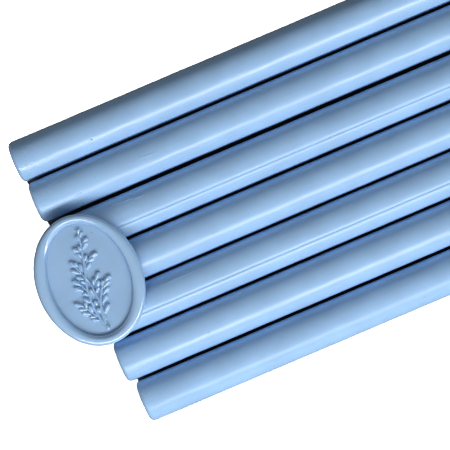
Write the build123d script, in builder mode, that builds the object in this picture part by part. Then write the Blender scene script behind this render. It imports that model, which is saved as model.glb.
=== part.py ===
"""Seven round sealing wax sticks lying side by side, with an oval wax seal on top of their ends.

X runs along the sticks, Y across the row and Z up. The origin is at the middle of the footprint, on
the surface that the sticks lie on. Lengths are in millimetres and angles in degrees.
"""

import math
import os

from build123d import *

os.makedirs("parts", exist_ok=True)

# The sticks: a size that feeds through an 11 mm hot glue gun
stick_diameter = 11.0
stick_length = 135.0
end_bevel = 0.7
stick_gaps = [0.6, 0.9, 0.6, 0.55, 0.6, 0.7]  # clear space between neighbours in the row
stick_starts = [0, 1.1, 2.7, 3.4, 4.2, 4.9, 6.4]  # how much further right each stick begins than the first

# The mould's parting line: two fine grooves along each stick, half a turn apart
seam_width = 0.3
# Where each stick's seam lies: its roll from straight up, towards the last stick
seam_rolls = [82.0, -84.0, 25.6, 80.0, 21.6, -80.0, -78.0]

# The seal: an oval die pressed into a pool of the same wax
field_length = 29.5
field_width = 20.7
field_thickness = 1.9
rim_end_width = 2.6  # the rim at the two ends of the oval
rim_side_width = 3.4  # the rim at the two sides, where more wax flows out
rim_rise = 1.5  # from the field up to the rim's crest
rim_draft = 22.0  # slope of the die's wall from straight up
rim_bevel = 0.4  # where the crest turns down to the die's wall
rim_crest = 0.3  # the flat that is left on the crest at its narrowest
seal_foot_bevel = 0.6
seal_rest_gap = 0.05  # room under the seal's flat back
seal_inset = 6.5  # from the first stick's end to the seal's centre
seal_turn = -2.0  # how far the oval lies askew to the row

# The sprig raised on the field
sprig_margin = 0.9  # from the sprig's ends to the field's edge
stem_width = 0.8
twig_width = 0.6
stem_height = 0.45
leaf_height = 0.7
leaf_root = 0.05  # how deep a leaf starts under the field
leaf_draft = 25.0  # slope of a long leaf's sides from straight up: the others' sides are upright
long_leaf_length = 2.9
long_leaf_width = 1.15
middle_leaf_length = 2.3
middle_leaf_width = 1.05
short_leaf_length = 1.75
short_leaf_width = 0.95

# Layout of the sprig, in hundredths of its height from its middle.
# The main stem bends through three points and runs on to its top. A twig is an arc through three points.
main_stem = [(0.3, -49.5), (-5.2, -27), (-3, 1), (5.2, 42.5)]
twigs = [
    [(0.5, -47), (2.2, -24), (10.5, -8.8)],
    [(1.2, -40), (1.2, -18), (-1.8, 1)],
    [(-4, -36), (-8.7, -29.5), (-12.8, -22.7)],
    [(-4.2, -13.5), (-6.7, -7.5), (-8.6, -3)],
    [(-3, 1), (-5, 7.5), (-7.8, 14)],
    [(0.3, 11), (2.5, 14.5), (5.5, 17.8)],
]
# A leaf is the point where it leaves its stem, and its heading from the X axis.
long_leaves = [
    (5.3, 17.5, 17),
    (-5, 6.6, 139),
    (-8.5, -3.8, 129),
    (4, -4.8, 52),
    (10.5, -8.8, 32),
    (8, -13, 32),
    (6, -18.7, 37),
    (3, -26.2, 46),
    (1.8, -34.8, 47),
    (-8, -9.5, 138),
    (-13, -22.7, 142),
    (-8.7, -32.1, 146),
]
middle_leaves = [
    (5, 32, 36),
    (4, 27.3, 46),
    (1.5, 25.7, 135),
    (3.3, 14.8, 18),
    (0, 9, 36),
    (-7.8, 13.6, 113),
    (-3.7, 8.2, 90),
    (-4, 1, 141),
    (4, -11, 65),
    (-6, -21.5, 128),
    (-11, -26.2, 155),
    (-7.8, -31, 94),
    (-4, -39.3, 153),
]
short_leaves = [
    (5.2, 41.5, 72),
    (5.5, 38.5, 58),
    (4.2, 35.5, 103),
    (2.6, 26, 100),
    (0.8, 20.3, 112),
    (2.3, 16.5, 63),
    (-6.2, 13.2, 97),
    (-3.5, -3.5, 133),
    (1.5, -7, 70),
    (9, -11, 68),
    (1, -14, 42),
    (-5.5, -14.5, 132),
    (-1.8, -15, 95),
    (-10.8, -24.5, 97),
    (-1.6, -26.5, 95),
    (-1.4, -33.5, 95),
    (-6, -35.5, 150),
]

# What follows from those sizes
stick_count = len(seam_rolls)
stick_radius = stick_diameter / 2
row_width = stick_count * stick_diameter + sum(stick_gaps)
middle_stick = stick_count // 2
seal_length = field_length + 2 * rim_end_width
seal_width = field_width + 2 * rim_side_width
rim_height = field_thickness + rim_rise
die_wall_run = rim_rise * math.tan(math.radians(rim_draft))
rim_round = min(rim_end_width, rim_side_width) - die_wall_run - rim_bevel - rim_crest
seal_reach = math.hypot(
    seal_width / 2 * math.cos(math.radians(seal_turn)),
    seal_length / 2 * math.sin(math.radians(seal_turn)),
)
row_left = min(0, seal_inset - seal_reach)
row_right = max(stick_starts) + stick_length
first_end = -(row_left + row_right) / 2
hundredth = (field_length - 2 * sprig_margin) / 100


def stick_y(index):
    """Where a stick's axis lies across the row."""
    return row_width / 2 - stick_radius - index * stick_diameter - sum(stick_gaps[:index])


def stick_plane(index, start):
    """The plane across a stick, at a distance from its left end, with its normal along the stick."""
    x = first_end + stick_starts[index] + start
    return Plane(origin=(x, stick_y(index), stick_radius), x_dir=(0, -1, 0), z_dir=(1, 0, 0))


def oval_outline(width, length):
    """Draws an upright oval as four tangent arcs."""
    half_width = width / 2
    half_length = length / 2
    slant = math.hypot(half_width, half_length)
    spare = half_length - half_width
    end_radius = slant * (slant - spare) / (2 * half_length)
    side_radius = slant * (slant + spare) / (2 * half_width)
    end_y = half_length - end_radius
    side_x = side_radius - half_width
    joint = math.degrees(math.atan2(abs(end_y), abs(side_x)))
    CenterArc((-side_x, 0), side_radius, -joint, 2 * joint)
    CenterArc((0, end_y), end_radius, joint, 180 - 2 * joint)
    CenterArc((side_x, 0), side_radius, 180 - joint, 2 * joint)
    CenterArc((0, -end_y), end_radius, 180 + joint, 180 - 2 * joint)


def on_sprig(point):
    """A point of the sprig's layout, in millimetres."""
    return (point[0] * hundredth, point[1] * hundredth)


def leaf_blank(length, width, draft):
    """A leaf along X from the origin, pointed at its foot and round at its tip."""
    tip_radius = width / 2
    tip_centre = length - tip_radius
    side = math.sqrt(tip_centre**2 - tip_radius**2)
    shoulder_x = side**2 / tip_centre
    shoulder_y = side * tip_radius / tip_centre
    with BuildPart() as leaf:
        with BuildSketch():
            with BuildLine():
                Line((0, 0), (shoulder_x, -shoulder_y))
                ThreePointArc((shoulder_x, -shoulder_y), (length, 0), (shoulder_x, shoulder_y))
                Line((shoulder_x, shoulder_y), (0, 0))
            make_face()
        extrude(amount=leaf_root + leaf_height, taper=draft)
    return leaf.part


def leaf_places(leaves):
    """Where the leaves of one size stand, rooted just under the field."""
    root = field_thickness - leaf_root
    return [Location((*on_sprig((x, y)), root), (0, 0, heading)) for x, y, heading in leaves]


# Sticks: a round bar with bevelled ends and the mould's two seams between the bevels
for index, roll in enumerate(seam_rolls):
    with BuildPart() as stick:
        with BuildSketch(stick_plane(index, 0)):
            Circle(stick_radius)
        extrude(amount=stick_length)
        chamfer(stick.edges().filter_by(GeomType.CIRCLE), end_bevel)
        with BuildSketch(stick_plane(index, end_bevel)):
            with PolarLocations(stick_radius, 2, start_angle=roll - 90):
                RegularPolygon(seam_width / 2, 4)
        extrude(amount=stick_length - 2 * end_bevel, mode=Mode.SUBTRACT)
    stick.part.label = f"stick_{index + 1}"
    export_step(stick.part, f"parts/{stick.part.label}.step")

# Leaves in three sizes, lying along X
long_leaf = leaf_blank(long_leaf_length, long_leaf_width, leaf_draft)
middle_leaf = leaf_blank(middle_leaf_length, middle_leaf_width, 0)
short_leaf = leaf_blank(short_leaf_length, short_leaf_width, 0)

# Seal: an oval pool of wax with a rounded rim, the die's sunk field, and the sprig raised on it
with BuildPart() as seal:
    with BuildSketch():
        with BuildLine():
            oval_outline(seal_width, seal_length)
        make_face()
    extrude(amount=rim_height)
    with BuildSketch(Plane.XY.offset(field_thickness)):
        with BuildLine():
            oval_outline(field_width, field_length)
        make_face()
    extrude(amount=rim_rise, taper=-rim_draft, mode=Mode.SUBTRACT)
    crest = seal.faces().filter_by(GeomType.PLANE).sort_by(Axis.Z)[-1]
    chamfer(crest.inner_wires()[0].edges(), rim_bevel)
    crest = seal.faces().filter_by(GeomType.PLANE).sort_by(Axis.Z)[-1]
    fillet(crest.outer_wire().edges(), rim_round)
    back = seal.faces().filter_by(GeomType.PLANE).sort_by(Axis.Z)[0]
    chamfer(back.outer_wire().edges(), seal_foot_bevel)
    with BuildSketch(Plane.XY.offset(field_thickness)):
        with BuildLine():
            foot, bend, middle, top = [on_sprig(point) for point in main_stem]
            lower_stem = ThreePointArc(foot, bend, middle)
            TangentArc(middle, top, tangent=lower_stem % 1)
        trace(line_width=stem_width)
        for twig in twigs:
            with BuildLine():
                ThreePointArc(*[on_sprig(point) for point in twig])
            trace(line_width=twig_width)
    extrude(amount=stem_height)
    for blank, leaves in ((long_leaf, long_leaves), (middle_leaf, middle_leaves), (short_leaf, short_leaves)):
        for place in leaf_places(leaves):
            with Locations(place):
                add(blank)

seal_centre = (first_end + seal_inset, stick_y(middle_stick), stick_diameter + seal_rest_gap)
wax_seal = seal.part.moved(Location(seal_centre, (0, 0, seal_turn)))
wax_seal.label = "wax_seal"
export_step(wax_seal, "parts/wax_seal.step")
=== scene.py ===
"""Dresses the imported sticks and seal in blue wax, in studio light, seen from straight above.

X runs along the sticks, Y across the row and Z up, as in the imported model. Sizes are named in
millimetres and angles in degrees, and MM turns a size into Blender's metres.
"""

import math

import bpy
import numpy as np
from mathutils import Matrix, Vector


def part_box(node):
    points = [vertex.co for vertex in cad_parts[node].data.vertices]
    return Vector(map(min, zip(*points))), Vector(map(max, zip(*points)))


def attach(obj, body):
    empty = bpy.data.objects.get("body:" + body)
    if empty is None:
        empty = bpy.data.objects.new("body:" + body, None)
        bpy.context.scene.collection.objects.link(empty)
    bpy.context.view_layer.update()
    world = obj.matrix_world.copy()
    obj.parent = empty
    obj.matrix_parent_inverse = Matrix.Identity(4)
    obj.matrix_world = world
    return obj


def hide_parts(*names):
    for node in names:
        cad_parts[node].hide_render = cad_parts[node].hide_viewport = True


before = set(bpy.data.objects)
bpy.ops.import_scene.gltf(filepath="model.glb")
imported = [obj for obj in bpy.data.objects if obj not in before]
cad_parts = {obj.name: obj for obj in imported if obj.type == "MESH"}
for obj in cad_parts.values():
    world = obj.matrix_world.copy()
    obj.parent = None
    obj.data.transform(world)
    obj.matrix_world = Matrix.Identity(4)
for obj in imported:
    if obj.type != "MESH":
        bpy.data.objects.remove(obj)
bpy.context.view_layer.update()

MM = 0.001

# The photograph's view: straight down, with the row slanting up to the right
view_centre = (-23.23, -0.97)
view_height = 500
view_turn = -23
view_span = 116.73  # what the frame shows across, at the sticks' mid-height
view_level = 5.5
sensor_width = 36

# The sticks: where each one's mould seam lies, as its roll from straight up towards the last stick
seam_rolls = [82.0, -84.0, 25.6, 80.0, 21.6, -80.0, -78.0]
# How deep and how wide the surface dips towards the seam, on the seam's upper side and on its lower side
seam_upper_dip = (0.21, 0.24)
seam_lower_dip = (0.19, 0.65)
seam_dip_shares = [0.1, 0.1, 1, 0.1, 1, 0.1, 0.1]  # how much of that dip each stick has
seam_line_depth = 0.08
seam_line_width = 0.24
end_round = 1.3
end_dome = 0.2  # how far the end faces swell past the flat
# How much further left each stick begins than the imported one, and the length that is stretched for it
left_reaches = [0, 0.28, 0, 0, 0, 0, 0]
left_stretch = 9
relief_fade_power = 8  # how fast seams, waves and marks fade out on the rounded ends
# A slight unevenness: each wave's length along the stick and its number round it
wave_kinds = [(41, 2), (23, 3), (15, 5), (9, 4)]
wave_height = 0.012
wave_seed = 7

# How fine a stick's mesh is, with closer lines at some distances from each seam
end_steps = 9
face_rings = [0.12, 0.4, 0.7, 0.9]  # shares of the flat end's radius
barrel_rings = 168
barrel_sides = 84
seam_steps = [0.05, 0.12, 0.22, 0.34, 0.48, 0.64, 0.82, 1.02, 1.25, 1.55]
seam_room = 0.1  # from the last of those lines to the next even one

# Crumbs, ridges and pits: the stick, how far along it, its roll as for a seam, and then the mark's
# half length, half width and height
marks = [
    (1, 20.9, 25, 0.2, 0.16, -0.25),
    (1, 58, 14.5, 0.25, 0.15, 0.05),
    (1, 62.3, 1, 0.2, 0.2, 0.06),
    (1, 62.5, 16.5, 0.2, 0.15, 0.05),
    (2, 10.6, 27, 0.5, 0.15, -0.08),
    (2, 11.8, 25, 0.4, 0.12, -0.07),
    (2, 31.5, 2, 1.5, 0.12, 0.08),
    (3, 17.5, -40, 1.6, 0.2, 0.07),
    (3, 20.5, -36.5, 1.6, 0.2, 0.07),
    (3, 23.4, -32.5, 0.9, 0.25, 0.09),
    (3, 36, -6, 0.2, 0.2, 0.05),
    (4, 36.7, 19.5, 0.45, 0.4, 0.06),
    (5, 23, -33, 5, 0.2, 0.04),
    (5, 26.8, 37, 0.25, 0.2, 0.07),
    (6, 24.3, 17, 0.25, 0.25, 0.07),
    (6, 5, 47, 3.5, 0.12, 0.05),
    (6, 5, 50, 3.5, 0.12, 0.05),
    (7, 3.3, 52, 0.25, 0.25, -0.08),
    (7, 27, 49, 0.25, 0.25, -0.08),
]
mark_end_power = 4  # how squarely a mark ends
mark_steps = np.array([-2, -1.3, -0.8, -0.4, 0, 0.4, 0.8, 1.3, 2])  # mesh lines, in a mark's half sizes

# The seal: an oval die pressed into a pool of wax
field_length = 29.5
field_width = 20.7
field_thickness = 1.9
rim_end_width = 2.6
rim_side_width = 3.4
# The rim's slope on the way across it, at the oval's ends and at its sides: the distance over its surface
# from the field, and the degrees there
rim_end_slopes = [
    (0, 0),
    (0.08, 74),
    (0.85, 76),
    (0.95, 34),
    (1.05, 23),
    (1.15, 42),
    (1.5, 42),
    (1.75, 27),
    (1.95, 20),
    (2.25, 0),
    (2.7, -17),
    (2.95, -25),
    (3.2, -37),
    (3.5, -53),
    (3.95, -75),
    (4.25, -90),
]
rim_side_slopes = [
    (0, 0),
    (0.08, 75),
    (1.1, 76),
    (1.2, 45),
    (1.45, 27),
    (1.95, 12),
    (2.5, 0),
    (3.2, -15),
    (3.5, -24),
    (4.1, -48),
    (4.55, -62),
    (5.1, -90),
]
die_line_depth = 0.2  # the fine line that the die's edge leaves round the field
die_line_width = 0.3
die_line_inset = 0.03
foot_inset = 0.035  # how far the outer wall leans in at its foot, as a share of the rim's width
pool_shift = -0.2  # the wax pool's middle from the die's, towards the sprig's top
pool_turn = 2.6  # how far the wax pool's oval is turned from the die's
press_drop = 0.8  # how much deeper the die went in at the sprig's top than at its foot
seal_turn = -2.0

# How fine the seal's mesh is
seal_angles = 520
field_rings = 150
rim_steps = 64
wall_steps = 5
back_rings = 8
stem_points = 48

# The sprig raised on the field
sprig_margin = 0.9
stem_width = 0.85
twig_width = 0.6
stem_height = 0.6
flow_width = 0.7  # a faint streak where the wax ran, from the rim to the sprig's top
flow_height = 0.12
leaf_height = 0.95
leaf_foot_power = 0.85  # how fast a leaf widens from its foot, and narrows to its tip
leaf_tip_power = 0.42
least_leaf_width = 1e-6  # keeps a leaf's foot and tip from a width of nothing
# Each leaf's length and width
long_leaf = (2.9, 1.4)
middle_leaf = (2.35, 1.3)
short_leaf = (1.8, 1.15)

# Layout of the sprig, in hundredths of its height from its middle.
# A stem bends through three points. A leaf is the point where it leaves its stem, and its heading from
# the X axis.
stems = [
    [(0.3, -49.5), (-5.2, -27), (-3, 1)],
    [(-3, 1), (1.8, 21), (5.2, 42.5)],
    [(0.5, -47), (2.2, -24), (10.5, -8.8)],
]
twigs = [
    [(1.2, -40), (1.2, -18), (-1.8, 1)],
    [(-4, -36), (-8.7, -29.5), (-12.8, -22.7)],
    [(-4.2, -13.5), (-6.7, -7.5), (-8.6, -3)],
    [(-3, 1), (-5, 7.5), (-7.8, 14)],
    [(0.3, 11), (2.5, 14.5), (5.5, 17.8)],
]
flow_marks = [
    [(0.6, 53.2), (1.9, 50), (3.2, 46.5)],
]
long_leaves = [
    (5.3, 17.5, 17),
    (-5, 6.6, 139),
    (-8.5, -3.8, 129),
    (4, -4.8, 52),
    (10.5, -8.8, 32),
    (8, -13, 32),
    (6, -18.7, 37),
    (3, -26.2, 46),
    (1.8, -34.8, 47),
    (-8, -9.5, 138),
    (-13, -22.7, 142),
    (-8.7, -32.1, 146),
]
middle_leaves = [
    (5, 32, 36),
    (4, 27.3, 46),
    (1.5, 25.7, 135),
    (3.3, 14.8, 18),
    (0, 9, 36),
    (-7.8, 13.6, 113),
    (-3.7, 8.2, 90),
    (-4, 1, 141),
    (4, -11, 65),
    (-6, -21.5, 128),
    (-11, -26.2, 155),
    (-7.8, -31, 94),
    (-4, -39.3, 153),
]
short_leaves = [
    (5.2, 41.5, 72),
    (5.5, 38.5, 58),
    (4.2, 35.5, 103),
    (2.6, 26, 100),
    (0.8, 20.3, 112),
    (2.3, 16.5, 63),
    (-6.2, 13.2, 97),
    (-3.5, -3.5, 133),
    (1.5, -7, 70),
    (9, -11, 68),
    (1, -14, 42),
    (-5.5, -14.5, 132),
    (-1.8, -15, 95),
    (-10.8, -24.5, 97),
    (-1.6, -26.5, 95),
    (-1.4, -33.5, 95),
    (-6, -35.5, 150),
    (0.3, -43.5, -88),
]

# The wax. A roughness is the lowest and the highest, and a detail is a noise's number of finer layers.
stick_colour = (0.33, 0.54, 0.82)
stick_gloss = [0.76, 0.56, 0.52, 0.6, 0.65, 0.62, 0.32]
stick_roughness = (0.28, 0.35)
seal_colour = (0.324, 0.518, 0.772)
seal_gloss = 1.0
seal_roughness = (0.048, 0.072)
painted_highlight_colour = (0.37, 0.575, 0.84)  # painted highlight: the seal's rim crest and sprig tops are painted paler, for the light those high parts catch
painted_highlight_levels = (13.2, 14.2)  # the heights between which that painted highlight comes in
dust_colour = (0.12, 0.14, 0.2)
subsurface_weight = 0.15
subsurface_radius = (0.6, 0.8, 1.0)
subsurface_depth = 0.25
cloud_size = 9
cloud_detail = 3
cloud_stops = [(0.3, 0.96), (0.7, 1.04)]  # places in the noise's range, and the colour's strength there
dust_size = 0.45
dust_detail = 0
dust_range = (0.87, 0.91)  # the part of the noise's range where dust comes in
dust_strength = 0.5
sheen_size = 14
sheen_detail = 2
sheen_range = (0.3, 0.7)
grain_size = 0.3
grain_detail = 2
grain_height = 0.02
grain_strength = 0.3
# Fine ripples at the sticks' left ends: their size along the stick and round it, their height, and
# where along the row they fade out
ripple_size = (0.5, 1.2)
ripple_height = 0.1
ripple_fade = (-66, -42)

# The light: each lamp's tilt from straight up, its compass turn from the last stick's side, its distance,
# its size and its watts
lights = {
    "key_strip": (47, 0, 600, (1250, 130), 5.4),
    "low_fill": (78, 35, 900, (1700, 400), 1.6),
    "top_fill": (35, 250, 700, (1200, 1200), 1.15),
}
fill_strength = 0.115
fill_horizon = (-0.02, 0.05)  # the heights, on a ball of radius 1, between which the fill comes in
floor_size = 8000
floor_shade = 0.05
floor_sun_tilt = 55
floor_sun_turn = 10  # towards the sticks' left ends
floor_sun_spread = 4
floor_sun_strength = 130
card_level = -0.2
card_shade = 0.7
pixel_filter_width = 1.15

hundredth = (field_length - 2 * sprig_margin) / 100
rng = np.random.default_rng(wave_seed)


def link(piece):
    """Puts a new object in the scene."""
    bpy.context.scene.collection.objects.link(piece)
    return piece


def add_camera():
    """Places the camera where the photograph was taken from."""
    data = bpy.data.cameras.new("camera")
    data.sensor_width = sensor_width
    data.lens = sensor_width * (view_height - view_level) / view_span
    camera = link(bpy.data.objects.new("camera", data))
    camera.location = (view_centre[0] * MM, view_centre[1] * MM, view_height * MM)
    camera.rotation_euler = (0, 0, math.radians(view_turn))
    bpy.context.scene.camera = camera


def add_ringed_piece(name, rings):
    """Makes a closed mesh of rings of points, with a fan of triangles over its first and last ring."""
    count, sides, _ = rings.shape
    first_middle = rings[0].mean(axis=0)
    last_middle = rings[-1].mean(axis=0)
    points = np.vstack([rings.reshape(-1, 3), first_middle, last_middle])
    ring, side = np.meshgrid(np.arange(count - 1), np.arange(sides), indexing="ij")
    here = ring * sides + side
    beside = ring * sides + (side + 1) % sides
    quads = np.stack([here, beside, beside + sides, here + sides], axis=-1).reshape(-1, 4)
    step = np.arange(sides)
    after = (step + 1) % sides
    last = (count - 1) * sides
    first_fan = np.stack([after, step, np.full(sides, count * sides)], axis=-1)
    last_fan = np.stack([last + step, last + after, np.full(sides, count * sides + 1)], axis=-1)
    faces = quads.tolist() + first_fan.tolist() + last_fan.tolist()
    mesh = bpy.data.meshes.new(name)
    mesh.from_pydata((points * MM).tolist(), [], faces)
    mesh.shade_smooth()
    return link(bpy.data.objects.new(name, mesh))


def dress(piece, node, material):
    """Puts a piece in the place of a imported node, riding on the node's own body."""
    piece.data.materials.append(material)
    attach(piece, node)
    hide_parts(node)


def seam_angles(roll, radius):
    """The angles round a stick where its mesh has points: even ones, and closer ones beside its seams."""
    even = np.linspace(0, 2 * math.pi, barrel_sides, endpoint=False)
    close = np.concatenate([[0], seam_steps, -np.array(seam_steps)]) / radius
    seams = np.concatenate([close, close + math.pi]) + math.radians(roll)
    clear = np.abs(seam_distance(even, roll, radius)) > seam_steps[-1] + seam_room
    return np.concatenate([even[clear], seams])


def seam_distance(angles, roll, radius):
    """How far round the surface each angle is beyond the nearer seam."""
    turn = (angles - math.radians(roll) + math.pi / 2) % math.pi - math.pi / 2
    return turn * radius


def seam_relief(from_seam, dip_share):
    """The height of the surface near a seam: a dip on both sides and a fine line in the middle."""
    depth, reach = np.where(from_seam[:, None] < 0, seam_upper_dip, seam_lower_dip).T
    away = np.abs(from_seam)
    line = seam_line_depth * np.clip(1 - away / (seam_line_width / 2), 0, 1)
    return -dip_share * depth * np.exp(-away / reach) - line


def stick_profile(length, radius, extra_rings):
    """Distances along a stick and radii, from the middle of one end face to the middle of the other."""
    turn = np.linspace(0, math.pi / 2, end_steps)
    face = np.array(face_rings) * (radius - end_round)
    swell = end_dome * (np.array(face_rings) ** 2 - 1)
    start = np.concatenate([swell, end_round * (1 - np.cos(turn))])
    start_radii = np.concatenate([face, radius - end_round + end_round * np.sin(turn)])
    even = np.linspace(start[-1], length - start[-1], barrel_rings)[1:-1]
    on_barrel = (extra_rings > start[-1]) & (extra_rings < length - start[-1])
    barrel = np.union1d(even, extra_rings[on_barrel])
    distances = np.concatenate([start, barrel, length - start[::-1]])
    radii = np.concatenate([start_radii, np.full(len(barrel), radius), start_radii[::-1]])
    return distances, radii


def mark_lines(own_marks, radius):
    """The distances along a stick and the angles round it where its mesh has points for its marks."""
    distances = []
    angles = []
    for _, along, roll, half_length, half_width, _ in own_marks:
        distances.append(along + half_length * mark_steps)
        angles.append(math.radians(roll) + half_width / radius * mark_steps)
    return np.concatenate(distances), np.concatenate(angles)


def mark_relief(own_marks, distances, angles, radius):
    """The height of a stick's small marks: crumbs and ridges stand up, pits go in."""
    relief = np.zeros((len(distances), len(angles)))
    for _, along, roll, half_length, half_width, height in own_marks:
        turn = (angles - math.radians(roll) + math.pi) % (2 * math.pi) - math.pi
        down = np.exp(-(((distances - along) / half_length) ** mark_end_power))
        across = np.exp(-((turn * radius / half_width) ** 2))
        relief += height * np.outer(down, across)
    return relief


def stick_waves(distances, angles):
    """A slight unevenness of a moulded stick's surface."""
    waves = np.zeros((len(distances), len(angles)))
    for wavelength, turns in wave_kinds:
        phase, lean = rng.uniform(0, 2 * math.pi, 2)
        along = np.sin(2 * math.pi * distances / wavelength + phase)
        waves += np.outer(along, np.cos(turns * angles + lean))
    return wave_height * waves


def make_stick(number, material):
    """A round stick with rounded ends, the mould's two seams and its own small marks."""
    node = f"stick_{number}"
    low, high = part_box(node)
    radius = (high.z - low.z) / 2 / MM
    roll = seam_rolls[number - 1]
    own_marks = [mark for mark in marks if mark[0] == number]
    mark_rings, mark_angles = mark_lines(own_marks, radius)
    angles = np.unique(np.append(seam_angles(roll, radius), mark_angles) % (2 * math.pi))
    distances, radii = stick_profile((high.x - low.x) / MM, radius, mark_rings)
    distances -= left_reaches[number - 1] * np.clip(1 - distances / left_stretch, 0, 1)
    relief = seam_relief(seam_distance(angles, roll, radius), seam_dip_shares[number - 1])
    relief = relief + stick_waves(distances, angles)
    relief += mark_relief(own_marks, distances, angles, radius)
    on_barrel = (radii / radius) ** relief_fade_power
    reach = radii[:, None] + on_barrel[:, None] * relief
    middle = (low + high) / 2 / MM
    rings = np.empty((len(distances), len(angles), 3))
    rings[:, :, 0] = low.x / MM + distances[:, None]
    rings[:, :, 1] = middle.y - reach * np.sin(angles)
    rings[:, :, 2] = middle.z + reach * np.cos(angles)
    dress(add_ringed_piece(f"wax_{node}", rings), node, material)


def arc_points(start, through, end):
    """Points along the circle through three points of the sprig's layout, in millimetres."""
    a, b, c = [complex(*point) * hundredth for point in (start, through, end)]
    slant = (c - a) / (b - a)
    centre = a + (b - a) * (slant - abs(slant) ** 2) / (slant - slant.conjugate())
    spoke = a - centre
    turn = np.angle((c - centre) / spoke)
    return centre + spoke * np.exp(1j * np.linspace(0, turn, stem_points))


def stem_relief(spots, layout, width, height):
    """A half-round stem's height over the field."""
    relief = np.zeros(spots.shape)
    for arc in layout:
        away = np.min(np.abs(spots[..., None] - arc_points(*arc)), axis=-1)
        round_top = np.sqrt(np.clip(1 - (away / (width / 2)) ** 2, 0, 1))
        relief = np.maximum(relief, height * round_top)
    return relief


def leaf_relief(spots, layout, size):
    """The domed leaves' height over the field. A leaf is narrow at its foot and round at its tip."""
    length, width = size
    widest = leaf_foot_power / (leaf_foot_power + leaf_tip_power)
    full = widest**leaf_foot_power * (1 - widest) ** leaf_tip_power
    relief = np.zeros(spots.shape)
    for x, y, heading in layout:
        own = (spots - complex(x, y) * hundredth) * np.exp(-1j * math.radians(heading))
        along = np.clip(own.real / length, 0, 1)
        share = along**leaf_foot_power * (1 - along) ** leaf_tip_power / full
        across = own.imag / (share * width / 2 + least_leaf_width)
        dome = np.sqrt(np.clip(1 - across**2, 0, 1) * share)
        relief = np.maximum(relief, leaf_height * dome)
    return relief


def field_relief(spots):
    """The height of the whole sprig over the field."""
    reliefs = [
        stem_relief(spots, stems, stem_width, stem_height),
        stem_relief(spots, twigs, twig_width, stem_height),
        stem_relief(spots, flow_marks, flow_width, flow_height),
        leaf_relief(spots, long_leaves, long_leaf),
        leaf_relief(spots, middle_leaves, middle_leaf),
        leaf_relief(spots, short_leaves, short_leaf),
    ]
    return np.maximum.reduce(reliefs)


def rim_profile(slopes, height):
    """Places across the rim, from its inner edge 0 to its outer edge 1, and the heights there."""
    distances, degrees = np.array(slopes).T
    steps = np.linspace(0, distances[-1], rim_steps + 1)
    middles = (steps[1:] + steps[:-1]) / 2
    slope = np.radians(np.interp(middles, distances, degrees))
    run = np.cumsum(np.cos(slope))
    climb = np.cumsum(np.sin(slope))
    heights = field_thickness + climb / climb.max() * (height - field_thickness)
    wall = np.linspace(1, 0, wall_steps)[1:]
    wall_places = 1 - foot_inset * (1 - wall) ** 2
    return np.array([np.append(run / run[-1], wall_places), np.append(heights, wall * heights[-1])])


def rim_all_round(turn, height):
    """The rim's places and heights at each angle, from the profile of its sides to that of its ends."""
    at_end = np.sin(turn) ** 2
    end_profile = rim_profile(rim_end_slopes, height)[:, :, None]
    side_profile = rim_profile(rim_side_slopes, height)[:, :, None]
    return side_profile + (end_profile - side_profile) * at_end


def seal_outlines(turn):
    """The edge of the die's field and the outside of the wax pool, at each angle."""
    edge = field_width / 2 * np.cos(turn) + 1j * field_length / 2 * np.sin(turn)
    pool = edge + rim_side_width * np.cos(turn) + 1j * rim_end_width * np.sin(turn)
    return edge, pool * np.exp(1j * math.radians(pool_turn)) + 1j * pool_shift


def die_line(shares, edge):
    """The depth of the fine line round the field, on rings that are shares of the field's edge."""
    away = np.abs(np.outer(1 - shares, np.abs(edge)) - die_line_inset)
    return die_line_depth * np.clip(1 - away / (die_line_width / 2), 0, 1)


def press_depth(spots, levels, wall_top):
    """How far the die pushes each point down: more towards the sprig's top, less down the outer wall."""
    towards_top = 0.5 + spots.imag / (field_length + 2 * rim_end_width)
    return press_drop * towards_top * np.clip(levels / wall_top, 0, 1)


def make_seal(material):
    """An oval seal: the die's field with its raised sprig, inside a rounded rim of squeezed-out wax."""
    low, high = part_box("wax_seal")
    middle = (low + high) / 2 / MM
    turn = np.linspace(0, 2 * math.pi, seal_angles, endpoint=False)
    edge, outside = seal_outlines(turn)
    shares = np.arange(1, field_rings + 1) / field_rings
    field = np.outer(shares, edge)
    places, heights = rim_all_round(turn, (high.z - low.z) / MM)
    rim = edge + places * (outside - edge)
    back = np.outer(np.linspace(1, 0, back_rings + 2)[1:-1], rim[-1])
    spots = np.vstack([field, rim, back])
    field_levels = field_thickness + field_relief(field) - die_line(shares, edge)
    levels = np.vstack([field_levels, heights, np.zeros(back.shape)])
    levels -= press_depth(spots, levels, heights[rim_steps - 1])
    spots *= np.exp(1j * math.radians(seal_turn))
    rings = np.empty((*spots.shape, 3))
    rings[:, :, 0] = middle.x + spots.real
    rings[:, :, 1] = middle.y + spots.imag
    rings[:, :, 2] = low.z / MM + levels
    dress(add_ringed_piece("wax_seal_cast", rings[::-1]), "wax_seal", material)


def new_material(name):
    """A new material with its nodes and its shader."""
    material = bpy.data.materials.new(name)
    material.use_nodes = True
    tree = material.node_tree
    return material, tree, tree.nodes["Principled BSDF"]


def add_noise(tree, size, detail):
    """A noise texture fixed to the piece, with blotches of about one size."""
    where = tree.nodes.new("ShaderNodeTexCoord")
    noise = tree.nodes.new("ShaderNodeTexNoise")
    noise.inputs["Scale"].default_value = 1 / (size * MM)
    noise.inputs["Detail"].default_value = detail
    tree.links.new(where.outputs["Object"], noise.inputs["Vector"])
    return noise.outputs["Fac"]


def add_range(tree, value, low, high, to_low, to_high):
    """Stretches the part of a value between two limits to two others."""
    spread = tree.nodes.new("ShaderNodeMapRange")
    spread.interpolation_type = "SMOOTHSTEP"
    spread.inputs["From Min"].default_value = low
    spread.inputs["From Max"].default_value = high
    spread.inputs["To Min"].default_value = to_low
    spread.inputs["To Max"].default_value = to_high
    tree.links.new(value, spread.inputs["Value"])
    return spread.outputs["Result"]


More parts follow.
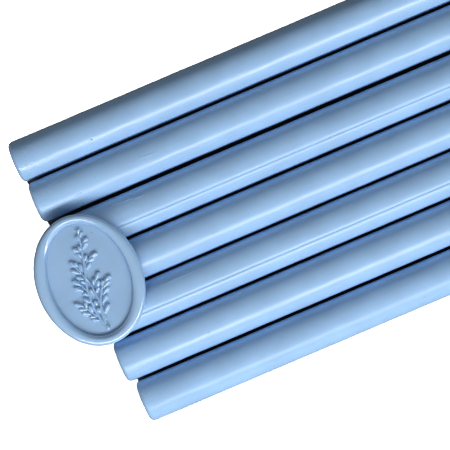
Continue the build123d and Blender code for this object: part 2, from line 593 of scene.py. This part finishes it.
def add_place(tree, axis):
    """Where a point of the piece lies along one axis, in metres."""
    where = tree.nodes.new("ShaderNodeTexCoord")
    parts = tree.nodes.new("ShaderNodeSeparateXYZ")
    tree.links.new(where.outputs["Object"], parts.inputs["Vector"])
    return parts.outputs[axis]


def add_clouds(tree, colour):
    """The wax's colour in pale and deep clouds, with a few specks of dust."""
    clouds = tree.nodes.new("ShaderNodeValToRGB")
    clouds.color_ramp.interpolation = "EASE"
    for stop, (place, strength) in zip(clouds.color_ramp.elements, cloud_stops):
        stop.position = place
        stop.color = (*[strength * c for c in colour], 1)
    tree.links.new(add_noise(tree, cloud_size, cloud_detail), clouds.inputs["Fac"])
    dust = tree.nodes.new("ShaderNodeMix")
    dust.data_type = "RGBA"
    dust.inputs["B"].default_value = (*dust_colour, 1)
    specks = add_range(tree, add_noise(tree, dust_size, dust_detail), *dust_range, 0, dust_strength)
    tree.links.new(specks, dust.inputs["Factor"])
    tree.links.new(clouds.outputs["Color"], dust.inputs["A"])
    return dust.outputs["Result"]


def make_wax(name, colour, roughness, gloss):
    """Satin wax: a little light goes in, its gloss is uneven, and a fine grain frets the highlights."""
    material, tree, shader = new_material(name)
    shader.inputs["Specular IOR Level"].default_value = gloss
    shader.inputs["Subsurface Weight"].default_value = subsurface_weight
    shader.inputs["Subsurface Radius"].default_value = subsurface_radius
    shader.inputs["Subsurface Scale"].default_value = subsurface_depth * MM
    tree.links.new(add_clouds(tree, colour), shader.inputs["Base Color"])
    sheen = add_range(tree, add_noise(tree, sheen_size, sheen_detail), *sheen_range, *roughness)
    tree.links.new(sheen, shader.inputs["Roughness"])
    grain = tree.nodes.new("ShaderNodeBump")
    grain.inputs["Strength"].default_value = grain_strength
    grain.inputs["Distance"].default_value = grain_height * MM
    tree.links.new(add_noise(tree, grain_size, grain_detail), grain.inputs["Height"])
    tree.links.new(grain.outputs["Normal"], shader.inputs["Normal"])
    return material


def add_painted_crest_highlight(material):
    """Paints the wax paler towards the crest of the seal's rim and the sprig's tops: a painted highlight
    for the light that these high parts catch.
    """
    tree = material.node_tree
    shader = tree.nodes["Principled BSDF"]
    painted_highlight_mix = tree.nodes.new("ShaderNodeMix")
    painted_highlight_mix.data_type = "RGBA"
    painted_highlight_mix.inputs["B"].default_value = (*painted_highlight_colour, 1)
    low, high = painted_highlight_levels
    highlight_share = add_range(tree, add_place(tree, "Z"), low * MM, high * MM, 0, 1)
    tree.links.new(highlight_share, painted_highlight_mix.inputs["Factor"])
    tree.links.new(shader.inputs["Base Color"].links[0].from_socket, painted_highlight_mix.inputs["A"])
    tree.links.new(painted_highlight_mix.outputs["Result"], shader.inputs["Base Color"])


def add_ripples(material):
    """Fine ripples across the sticks' left ends, over the wax's own grain."""
    tree = material.node_tree
    shader = tree.nodes["Principled BSDF"]
    where = tree.nodes.new("ShaderNodeTexCoord")
    squeeze = tree.nodes.new("ShaderNodeMapping")
    along, across = [1 / (size * MM) for size in ripple_size]
    squeeze.inputs["Scale"].default_value = (along, across, across)
    tree.links.new(where.outputs["Object"], squeeze.inputs["Vector"])
    noise = tree.nodes.new("ShaderNodeTexNoise")
    noise.inputs["Scale"].default_value = 1
    tree.links.new(squeeze.outputs["Vector"], noise.inputs["Vector"])
    ripples = tree.nodes.new("ShaderNodeBump")
    ripples.inputs["Distance"].default_value = ripple_height * MM
    full_until, gone_from = ripple_fade
    strength = add_range(tree, add_place(tree, "X"), full_until * MM, gone_from * MM, 1, 0)
    tree.links.new(strength, ripples.inputs["Strength"])
    tree.links.new(noise.outputs["Fac"], ripples.inputs["Height"])
    tree.links.new(shader.inputs["Normal"].links[0].from_socket, ripples.inputs["Normal"])
    tree.links.new(ripples.outputs["Normal"], shader.inputs["Normal"])


def add_plane(name, level, shade):
    """A plain matt sheet under the row, which isn't part of the object."""
    half = floor_size / 2 * MM
    corners = [(-half, -half), (half, -half), (half, half), (-half, half)]
    mesh = bpy.data.meshes.new(name)
    mesh.from_pydata([(x, y, level * MM) for x, y in corners], [], [(0, 1, 2, 3)])
    plane = link(bpy.data.objects.new(name, mesh))
    material, _, shader = new_material(name)
    shader.inputs["Base Color"].default_value = (shade, shade, shade, 1)
    shader.inputs["Roughness"].default_value = 1
    shader.inputs["Specular IOR Level"].default_value = 0
    mesh.materials.append(material)
    return plane


def add_floor():
    """A floor that only the camera sees, and a card just under it that throws light back on the wax."""
    floor = add_plane("floor", 0, floor_shade)
    floor.visible_diffuse = False
    floor.visible_glossy = False
    floor.visible_transmission = False
    card = add_plane("bounce_card", card_level, card_shade)
    card.visible_camera = False
    return floor


def add_floor_suns(floor):
    """Two suns, one from each side of the row, that light the floor alone to white."""
    lit = bpy.data.collections.new("floor_light_receivers")
    lit.objects.link(floor)
    tilt = math.radians(floor_sun_tilt)
    turn = math.radians(floor_sun_turn)
    for name, side in (("floor_sun_near", 1), ("floor_sun_far", -1)):
        data = bpy.data.lights.new(name, "SUN")
        data.energy = floor_sun_strength
        data.angle = math.radians(floor_sun_spread)
        sun = link(bpy.data.objects.new(name, data))
        sun.rotation_euler = (side * tilt, 0, -side * turn)
        sun.light_linking.receiver_collection = lit


def add_lights():
    """The studio's soft lights, each aimed at the middle of the row."""
    for name, (tilt, turn, distance, size, watts) in lights.items():
        data = bpy.data.lights.new(name, "AREA")
        data.shape = "RECTANGLE"
        data.size = size[0] * MM
        data.size_y = size[1] * MM
        data.energy = watts
        light = link(bpy.data.objects.new(name, data))
        light.rotation_euler = (math.radians(tilt), 0, math.radians(turn))
        light.location = light.rotation_euler.to_matrix() @ Vector((0, 0, distance * MM))


def add_fill():
    """Even light from the upper half of the surroundings."""
    world = bpy.data.worlds.new("surroundings")
    world.use_nodes = True
    bpy.context.scene.world = world
    nodes = world.node_tree.nodes
    links = world.node_tree.links
    where = nodes.new("ShaderNodeTexCoord")
    parts = nodes.new("ShaderNodeSeparateXYZ")
    above = nodes.new("ShaderNodeMapRange")
    above.inputs["From Min"].default_value = fill_horizon[0]
    above.inputs["From Max"].default_value = fill_horizon[1]
    above.inputs["To Max"].default_value = fill_strength
    links.new(where.outputs["Generated"], parts.inputs["Vector"])
    links.new(parts.outputs["Z"], above.inputs["Value"])
    links.new(above.outputs["Result"], nodes["Background"].inputs["Strength"])
    nodes["Background"].inputs["Color"].default_value = (1, 1, 1, 1)


add_camera()
for number, gloss in enumerate(stick_gloss, 1):
    stick_wax = make_wax(f"stick_{number}_wax", stick_colour, stick_roughness, gloss)
    add_ripples(stick_wax)
    make_stick(number, stick_wax)
seal_wax = make_wax("seal_wax", seal_colour, seal_roughness, seal_gloss)
# painted highlight on the seal's highest parts
add_painted_crest_highlight(seal_wax)
make_seal(seal_wax)
add_floor_suns(add_floor())
add_lights()
add_fill()
bpy.context.scene.view_settings.view_transform = "Standard"
bpy.context.scene.cycles.filter_width = pixel_filter_width
